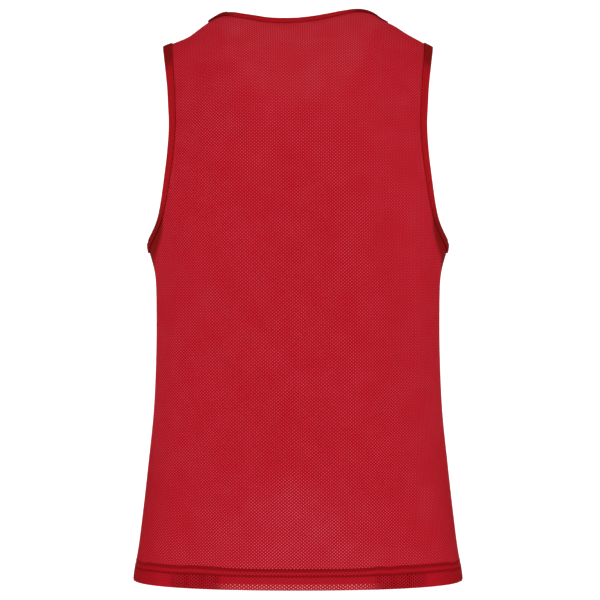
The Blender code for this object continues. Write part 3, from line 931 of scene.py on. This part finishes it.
# A tape folded over an edge, drawn as a closed section carried round the opening.
def makeBinding(name, points, normals, width, lapRange, shadeOf):
    wall, gap, cloth = (bindingSettings[key] for key in ("wall", "gap", "cloth"))
    count = points.shape[1]
    lapStart, lapEnd = lapRange
    lap = np.zeros(count)
    lap[lapStart:lapEnd] = bindingSettings["lapWall"]
    lap = lap[:, None]
    edge, edgeNormal = points[0], normals[0]
    inward = unit(points[2] - edge)
    inward = unit(inward - edgeNormal * np.sum(inward * edgeNormal, axis=1, keepdims=True))
    shares = bindingSettings["shares"]
    lines, across = [], []

    def leg(order, offset, sign, lift):
        for k in order:
            bulge = lift * bindingSettings["crown"] * np.sin(np.pi * shares[k]) ** 0.8
            lines.append(points[k] + normals[k] * (offset + sign * bulge))
            across.append(shares[k] * width)

    reach = list(range(len(shares)))
    leg(reach[::-1], gap + wall + lap, 1, 1)
    middle = edge - edgeNormal * cloth / 2
    for angle in bindingSettings["foldAngles"]:
        rise = (cloth / 2 + gap + wall) * np.cos(angle) + lap * max(np.cos(angle), 0)
        out = (gap + wall + lap) * np.sin(angle)
        lines.append(middle + edgeNormal * rise - inward * out)
        across.append(-bindingSettings["foldGrain"] * np.sin(angle))
    leg(reach, -(cloth + gap + wall), -1, 1)
    leg(reach[::-1], -(cloth + gap), -1, 0)
    leg(reach, gap, 1, 0)
    section = np.stack(lines, axis=1)
    total = np.linalg.norm(np.roll(edge, -1, axis=0) - edge, axis=1)
    reachAlong = np.concatenate([[0], np.cumsum(total)])[:-1]
    uv = np.stack(np.broadcast_arrays(reachAlong[:, None], np.array(across)[None]), axis=-1)
    shade = np.broadcast_to(shadeOf(edge)[:, None], uv.shape[:2])
    sides = len(lines)
    faces = []
    for i in range(count):
        for k in range(sides):
            j, m = (i + 1) % count, (k + 1) % sides
            faces.append([i * sides + k, i * sides + m, j * sides + m, j * sides + k])
    flat = section.reshape(-1, 3)
    faces = facingOut(flat, faces, faces)
    piece = newPiece(name, flat, faces, tapeRed, uv.reshape(-1, 2), {"shade": shade.ravel()})
    rise = bindingSettings["stitchRise"]
    stitchLine = points[-3] + normals[-3] * (gap + wall + lap + rise)
    innerLine = points[-3] - normals[-3] * (cloth + gap + wall + rise)
    return piece, stitchLine, innerLine


# The neck's strips, from the left shoulder seam through the back and round the front.
def neckRing():
    lines, hints = [], []
    for face in (back, front):
        left, right = neckLine(face, -1), neckLine(face, 1)
        whole = np.concatenate([left[::-1], right[1:]])
        whole = along(face, whole, bindingSettings["neckSteps"])
        whole[0, 1] = whole[-1, 1] = 0
        lines.append((face, whole))
        edge = place(face, *whole.T)
        forward, upward = bindingSettings["neckCentre"]
        hints.append(unit(edge - [0, -face * forward, upward]))
    return ringStrips(lines, bindingSettings["neckWidth"], hints)


# An armhole's strips, from the side seam up through the back and down the front.
def armRing(hand):
    lines, hints = [], []
    for face in (back, front):
        line = along(face, armholeLine(face, hand), bindingSettings["armholeSteps"])
        line[0, 0] = hand * np.pi / 2
        line[-1, 1] = 0
        lines.append((face, line))
        edge = place(face, *line.T)
        centreX, centreZ = bindingSettings["armholeCentre"]
        hint = unit(edge - [hand * centreX, 0, centreZ])
        hints.append(hint - [hand * bindingSettings["armholeLean"], 0, 0])
    return ringStrips(lines, bindingSettings["armholeWidth"], hints)


# Painted shade: darker where the band turns away at both ends of the back neck.
def neckShade(edge):
    (middle, ends), (start, fade) = bindingSettings["neckShade"], bindingSettings["neckShadeFrom"]
    away = np.abs(edge[:, 0] - bindingSettings["neckMiddle"])
    return middle + ends * np.clip((away - start) / fade, 0, 1)


# Painted shade: darker at the shoulder's tip and round the armhole's lowest part.
def armShade(edge):
    z = edge[:, 2]
    middle, atTop, atLow = bindingSettings["armShade"]
    topFrom, topFade = bindingSettings["armShadeTop"]
    lowFrom, lowFade = bindingSettings["armShadeLow"]
    top = np.clip((z - topFrom) / topFade, 0, 1)
    low = np.clip((lowFrom - z) / lowFade, 0, 1)
    return middle + atTop * top + atLow * low


backPanel = makePanel("backPanel", back)
frontPanel = makePanel("frontPanel", front)
print("panels ready")

neckBinding, neckStitch, neckStitchInside = makeBinding(
    "neckBinding", *neckRing(), bindingSettings["neckWidth"], bindingSettings["neckLap"], neckShade)
armBindings, armStitches = {}, {}
for hand, side in ((-1, "Left"), (1, "Right")):
    ringPoints, ringNormals = armRing(hand)
    last = ringPoints.shape[1]
    made = makeBinding(
        "armholeBinding" + side, ringPoints, ringNormals, bindingSettings["armholeWidth"],
        (last - bindingSettings["armholeLap"], last), armShade)
    armBindings[side], armStitches[side] = made[0], made[1:]
print("bindings ready")


# Stitches laid end to end along lines: a lens-shaped thread turned along each line.
def stitchTree():
    tree = bpy.data.node_groups.new("stitchesAlongLines", "GeometryNodeTree")
    tree.interface.new_socket("Geometry", in_out="INPUT", socket_type="NodeSocketGeometry")
    for label, value in (("Pitch", 0.0028), ("Stitch Length", 0.0022), ("Thickness", 0.0005)):
        socket = tree.interface.new_socket(label, in_out="INPUT", socket_type="NodeSocketFloat")
        socket.default_value = value
    tree.interface.new_socket("Thread", in_out="INPUT", socket_type="NodeSocketMaterial")
    tree.interface.new_socket("Geometry", in_out="OUTPUT", socket_type="NodeSocketGeometry")
    nodes = Nodes(tree)
    given = nodes.add("NodeGroupInput").outputs
    curve = nodes.add("GeometryNodeMeshToCurve", {0: given[0]}).outputs[0]
    even = nodes.add("GeometryNodeResampleCurve", {"Curve": curve}, mode="LENGTH")
    nodes.put(even.inputs["Length"], given["Pitch"])
    tangent = nodes.add("GeometryNodeInputTangent").outputs[0]
    turned = nodes.add("FunctionNodeAlignRotationToVector", {"Vector": tangent}, axis="X").outputs[0]
    ball = nodes.add("GeometryNodeMeshUVSphere", {"Segments": 6, "Rings": 4, "Radius": 0.5}).outputs[0]
    size = nodes.add("ShaderNodeCombineXYZ").inputs
    for k, key in enumerate(("Stitch Length", "Thickness", "Thickness")):
        nodes.put(size[k], given[key])
    placed = nodes.add("GeometryNodeInstanceOnPoints", {
        "Points": even.outputs[0], "Instance": ball, "Rotation": turned,
        "Scale": size[0].node.outputs[0],
    }).outputs[0]
    real = nodes.add("GeometryNodeRealizeInstances", {0: placed}).outputs[0]
    smooth = nodes.add("GeometryNodeSetShadeSmooth", {"Geometry": real}).outputs[0]
    coated = nodes.add("GeometryNodeSetMaterial", {"Geometry": smooth, "Material": given["Thread"]})
    nodes.put(nodes.add("NodeGroupOutput").inputs[0], coated.outputs[0])
    return tree


stitchNodes = stitchTree()


# Runs the stitch tree over some lines and keeps its result as a plain mesh.
def makeStitches(name, lines, material, **sizes):
    points, edges = [], []
    for line, closed in lines:
        first = len(points)
        points += np.asarray(line, float).tolist()
        edges += [(first + i, first + i + 1) for i in range(len(line) - 1)]
        if closed:
            edges.append((first + len(line) - 1, first))
    mesh = bpy.data.meshes.new(name + "Lines")
    mesh.from_pydata(points, edges, [])
    guide = addObject(name + "Lines", mesh)
    modifier = guide.modifiers.new("stitches", "NODES")
    modifier.node_group = stitchNodes
    sockets = {s.name: s.identifier for s in stitchNodes.interface.items_tree if s.in_out == "INPUT"}
    for key, value in {"Thread": material, **sizes}.items():
        modifier[sockets[key]] = value
    seen = guide.evaluated_get(bpy.context.evaluated_depsgraph_get())
    plain = bpy.data.meshes.new_from_object(seen)
    bpy.data.objects.remove(guide, do_unlink=True)
    return addObject(name, plain)


def hemLine(face, up, lift):
    turns = np.linspace(-np.pi / 2, np.pi / 2, stitchSettings["hemSteps"])
    row = hemRow(face, turns, up)
    return place(face, *row.T) + outward(face, *row.T) * lift


stitchSettings = {
    "hemRows": (0.0170, 0.0240),
    "hemLifts": (0.0001, -0.0024),
    "hemSteps": 240,
    "hem": {"Pitch": 0.0030, "Stitch Length": 0.0026},
    "tape": {"Pitch": 0.0028, "Stitch Length": 0.0023},
}
hemLines = [
    (hemLine(face, up, lift), False)
    for lift in stitchSettings["hemLifts"]
    for face in (back, front)
    for up in stitchSettings["hemRows"]
]
hemStitches = makeStitches("hemStitches", hemLines, threadRed, **stitchSettings["hem"])
neckLines = [(neckStitch, True), (neckStitchInside, True)]
neckStitches = makeStitches("neckStitches", neckLines, threadRed, **stitchSettings["tape"])
armholeStitches = {
    side: makeStitches(
        "armholeStitches" + side, [(line, True) for line in lines], threadRed,
        **stitchSettings["tape"])
    for side, lines in armStitches.items()
}
print("stitches ready")

seamSettings = {
    "width": 0.0065,
    "thickness": 0.0016,
    "lift": 0.0006,
    "zigzag": 0.0016,
    "hemZigzag": (0.0205, 0.0247),
    "threadRadius": 0.00022,
    "threadGap": 0.0002,
    "hemThreadGap": 0.0005,
    "shares": (0.05, 0.35, 0.7, 1.0),
    "grain": (0.0033, 0.0022),
    "sideEnds": (0.026, 0.010),
    "sideSteps": 130,
    "shoulderEnds": (0.010, 0.011),
    "shoulderSteps": 24,
    "hemEnds": 0.02,
    "hemSteps": 640,
}


# Edge line of a seam on the back panel, and the way in from it.
def seamStations(kind, hand):
    if kind == "side":
        above, below = seamSettings["sideEnds"]
        top = form["underarmZ"] - form["backHemZ"] - below
        up = np.linspace(above, top, seamSettings["sideSteps"])
        turns = np.array([hand * np.pi / 2])
        line = np.concatenate([hemRow(back, turns, height) for height in up])
        hint = np.array([0, -1.0, 0])
    else:
        fromNeck, fromTip = seamSettings["shoulderEnds"]
        x = np.linspace(form["neckX"] + fromNeck, form["tipX"] - fromTip,
                        seamSettings["shoulderSteps"]) * hand
        line = turnAndDown(back, x, twoSided(shoulderTable, x))
        line[:, 1] = 0
        hint = np.array([0, -1.0, -0.2])
    return line, np.broadcast_to(hint, (len(line), 3))


# Faces of a closed strip whose points start at a number: its walls, then both ends.
def stripFaces(first, rows, count):
    faces = []
    for i in range(rows - 1):
        for k in range(count):
            m = (k + 1) % count
            faces.append([first + i * count + k, first + i * count + m,
                          first + (i + 1) * count + m, first + (i + 1) * count + k])
    faces.append([first + k for k in range(count)][::-1])
    faces.append([first + (rows - 1) * count + k for k in range(count)])
    return faces


# Points that jump from one line to the other and back.
def zigzagBetween(inner, outer):
    return np.where((np.arange(len(inner)) % 2 == 0)[:, None], inner, outer)


# The thread's way along an allowance, near its seam and at its cut edge in turn.
def overlockLine(onCloth, below):
    length = np.sum(np.linalg.norm(np.diff(onCloth[2], axis=0), axis=1))
    rows = onCloth.shape[1]
    at = np.linspace(0, rows - 1, int(length / seamSettings["zigzag"]) * 2 + 1)
    inner, outer = (
        np.stack([np.interp(at, np.arange(rows), below[k, :, axis]) for axis in range(3)], 1)
        for k in (1, 3)
    )
    return zigzagBetween(inner, outer)


# The overlocked seam allowances inside, pressed towards the back, as flat closed strips.
def seamAllowance(name):
    points, faces, uv, lines = [], [], [], []
    lift, thickness = seamSettings["lift"], seamSettings["thickness"]
    grainLong, grainAcross = seamSettings["grain"]
    for kind, hand in (("side", -1), ("side", 1), ("shoulder", -1), ("shoulder", 1)):
        line, hint = seamStations(kind, hand)
        onCloth, normals = stripAcross(
            back, line, seamSettings["width"], seamSettings["shares"], hint)
        top = onCloth - normals * lift
        low = onCloth - normals * (lift + thickness)
        section = np.concatenate([top, low[::-1]])
        count, rows = section.shape[:2]
        strip = stripFaces(len(points), rows, count)
        for i in range(rows):
            for k in range(count):
                points.append(section[k, i])
                uv.append((i * grainLong, min(k, count - 1 - k) * grainAcross))
        faces += facingOut(points, strip, strip[:-2])
        below = onCloth - normals * (lift + thickness + seamSettings["threadGap"])
        lines.append((overlockLine(onCloth, below), False))
    piece = newPiece(name, points, faces, meshRedInside, uv)
    return piece, lines


def insideMaterial():
    material, nodes, shader = newMaterial("seamCloth")
    grain = nodes.add("ShaderNodeUVMap", uv_map="grain").outputs[0]
    knit = nodes.add("ShaderNodeGroup", {0: grain}, node_tree=loops).outputs[0]
    nodes.put(shader["Base Color"], nodes.mix(knit, panelLook["deepRed"], panelLook["red"]))
    nodes.put(shader["Roughness"], 0.8)
    bump = nodes.add("ShaderNodeBump", {"Height": knit, "Distance": 0.0001, "Strength": 0.7})
    nodes.put(shader["Normal"], bump.outputs[0])
    nodes.put(shader["Sheen Weight"], 0.1)
    return material


meshRedInside = insideMaterial()
allowance, zigzags = seamAllowance("seamAllowances")
hemZigzags = []
for face in (back, front):
    end = np.pi / 2 - seamSettings["hemEnds"]
    turns = np.linspace(-end, end, seamSettings["hemSteps"])
    low, high = (hemRow(face, turns, up) for up in seamSettings["hemZigzag"])
    inside = 2 * panelSettings["foldRadius"] + seamSettings["hemThreadGap"]
    a = place(face, *low.T) - outward(face, *low.T) * inside
    b = place(face, *high.T) - outward(face, *high.T) * inside
    hemZigzags.append((zigzagBetween(a, b), False))


# A thread along some lines, as a thin tube of four sides.
def makeThread(name, lines, radius, material):
    points, faces = [], []
    for line, _ in lines:
        run = unit(np.gradient(line, axis=0))
        side = unit(np.cross(run, np.array([0.31, 0.22, 0.92])))
        upward = np.cross(run, side)
        first = len(points)
        for i in range(len(line)):
            for k in range(4):
                angle = np.pi / 2 * k
                points.append(line[i] + radius * (side[i] * np.cos(angle) + upward[i] * np.sin(angle)))
        for i in range(len(line) - 1):
            for k in range(4):
                m = (k + 1) % 4
                a, b = first + i * 4, first + (i + 1) * 4
                faces.append([a + k, a + m, b + m, b + k])
        faces.append([first + k for k in range(4)][::-1])
        faces.append([first + (len(line) - 1) * 4 + k for k in range(4)])
    return newPiece(name, points, faces, material)


overlock = makeThread(
    "overlockThread", zigzags + hemZigzags, seamSettings["threadRadius"], threadRed)
print("seams ready")

# The frame: what stands for what, and what each piece is.
for piece, nodes in (
    (backPanel, ["back_panel"]),
    (frontPanel, ["front_panel"]),
    (neckBinding, ["neck_binding"]),
    (armBindings["Left"], ["armhole_binding_left"]),
    (armBindings["Right"], ["armhole_binding_right"]),
):
    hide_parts(*nodes)
meshPieces = [backPanel, frontPanel, allowance]
trimPieces = [neckBinding, *armBindings.values(), hemStitches, neckStitches,
              *armholeStitches.values(), overlock]
for piece in meshPieces + trimPieces:
    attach(piece, "root")

stage = {
    "floorZ": -1.05,
    "radius": 7.0,
    "bend": 1.4,
    "bendSteps": 8,
    "height": 2.2,
    "segments": 48,
    "white": 0.9,
    "glow": 0.42,
    "worldStrength": 0.60,
}


# A pale round floor that bends up all round into a low wall.
def makeBackdrop():
    profile = [(0.0, stage["floorZ"]), (stage["radius"] - stage["bend"], stage["floorZ"])]
    for angle in np.linspace(0, np.pi / 2, stage["bendSteps"] + 1)[1:]:
        profile.append((
            stage["radius"] - stage["bend"] * (1 - np.sin(angle)),
            stage["floorZ"] + stage["bend"] * (1 - np.cos(angle)),
        ))
    profile.append((stage["radius"], stage["height"]))
    count = stage["segments"]
    around = np.linspace(0, 2 * np.pi, count, endpoint=False)
    points = [(0, 0, stage["floorZ"])]
    for reach, z in profile[1:]:
        points += [(reach * np.cos(angle), reach * np.sin(angle), z) for angle in around]
    faces = [(0, 1 + i, 1 + (i + 1) % count) for i in range(count)]
    for ring in range(len(profile) - 2):
        first = 1 + ring * count
        for i in range(count):
            j = (i + 1) % count
            faces.append((first + i, first + count + i, first + count + j, first + j))
    material, nodes, shader = newMaterial("paleFloor")
    nodes.put(shader["Base Color"], (stage["white"],) * 3 + (1,))
    nodes.put(shader["Roughness"], 0.9)
    nodes.put(shader["Emission Color"], (1, 1, 1, 1))
    nodes.put(shader["Emission Strength"], stage["glow"])
    return newPiece("floor", points, faces, material)


view = {"lens": 151.2, "at": (0.0025, -3.2, -0.335), "aimZ": -0.33}

lights = table(
    "x y z size power",
    (-1.5, -2.6, 1.3, 1.4, 13.5),
    (1.7, -2.4, 0.9, 1.4, 10.0),
    (0.0, -0.4, 2.3, 1.6, 9.0),
)


def makeLights():
    for k, (x, y, z, size, power) in enumerate(zip(*lights.values())):
        data = bpy.data.lights.new("softLight%d" % k, "AREA")
        data.size = size
        data.energy = power
        lamp = addObject("softLight%d" % k, data)
        lamp.location = (x, y, z)
        way = np.array([x, y, z - view["aimZ"]])
        lamp.rotation_euler = (
            np.arctan2(np.hypot(way[0], way[1]), way[2]), 0, np.arctan2(way[0], -way[1]))


makeBackdrop()
makeLights()
world = bpy.data.worlds.new("softWhite")
world.use_nodes = True
world.node_tree.nodes["Background"].inputs[0].default_value = (1, 1, 1, 1)
world.node_tree.nodes["Background"].inputs[1].default_value = stage["worldStrength"]
bpy.context.scene.world = world
bpy.context.scene.view_settings.view_transform = "Standard"
bpy.context.scene.view_settings.look = "None"

cameraData = bpy.data.cameras.new("camera")
cameraData.lens = view["lens"]
cameraData.sensor_width = 36
camera = addObject("camera", cameraData)
camera.location = view["at"]
camera.rotation_euler = (np.pi / 2, 0, 0)
bpy.context.scene.camera = camera
print("stage, lights and camera ready")
